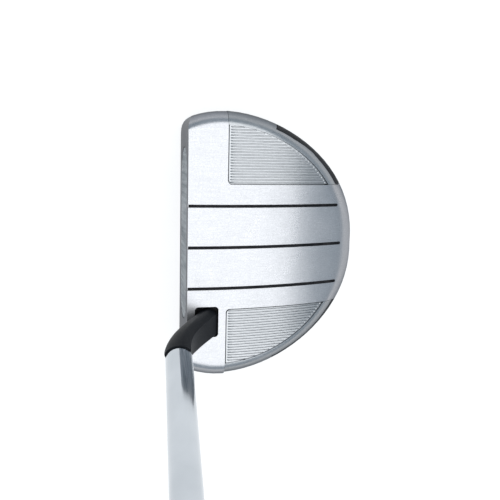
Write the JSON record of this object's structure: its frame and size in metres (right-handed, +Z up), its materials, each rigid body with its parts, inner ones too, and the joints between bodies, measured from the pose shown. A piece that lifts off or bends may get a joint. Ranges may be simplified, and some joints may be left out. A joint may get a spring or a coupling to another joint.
{
  "type": "mallet putter",
  "caption": "Right-handed mallet golf putter: half-round head with crown alignment lines, face insert, forward-leaning black neck, stepped steel shaft and flat-fronted rubber grip.",
  "frame": {"origin": "on the flat of the sole, under the centre alignment line, 24 mm behind the top edge of the face", "axes": "+Z up with the sole on the ground, -X is the direction of the putt (the face looks along -X), +Y is the toe, -Y the heel and the player's side"},
  "size_m": [0.0943, 0.3797, 0.8172],
  "materials": {
    "head_metal": "bead-blasted satin, bright",
    "wing_metal": "satin rim, fine milled grooves on top",
    "black_rubber": "smooth matt",
    "insert_metal": "brushed, milled grooves",
    "pad_rubber": "plain",
    "line_fill": "smooth black fill",
    "screw_steel": "turned",
    "weight_steel": "turned, satin",
    "hosel_black": "matt black coating",
    "shaft_chrome": "polished",
    "tape": "matt",
    "grip_rubber": "moulded, fine texture",
    "cap_plastic": "moulded"
  },
  "bodies": {
    "root": {"head_body": "head_metal", "toe_wing": "wing_metal", "heel_wing": "wing_metal", "toe_rim_insert": "black_rubber", "heel_rim_insert": "black_rubber", "face_insert": "insert_metal", "insert_backing": "pad_rubber", "alignment_inlay_toe": "line_fill", "alignment_inlay_centre": "line_fill", "alignment_inlay_heel": "line_fill", "toe_wing_screw_front": "screw_steel", "toe_wing_screw_rear": "screw_steel", "heel_wing_screw_front": "screw_steel", "heel_wing_screw_rear": "screw_steel", "hosel_screw": "screw_steel", "toe_weight": "weight_steel", "heel_weight": "weight_steel", "hosel": "hosel_black", "shaft": "shaft_chrome", "grip_tape": "tape", "grip": "grip_rubber", "grip_end_cap": "cap_plastic"}
  },
  "joints": []
}
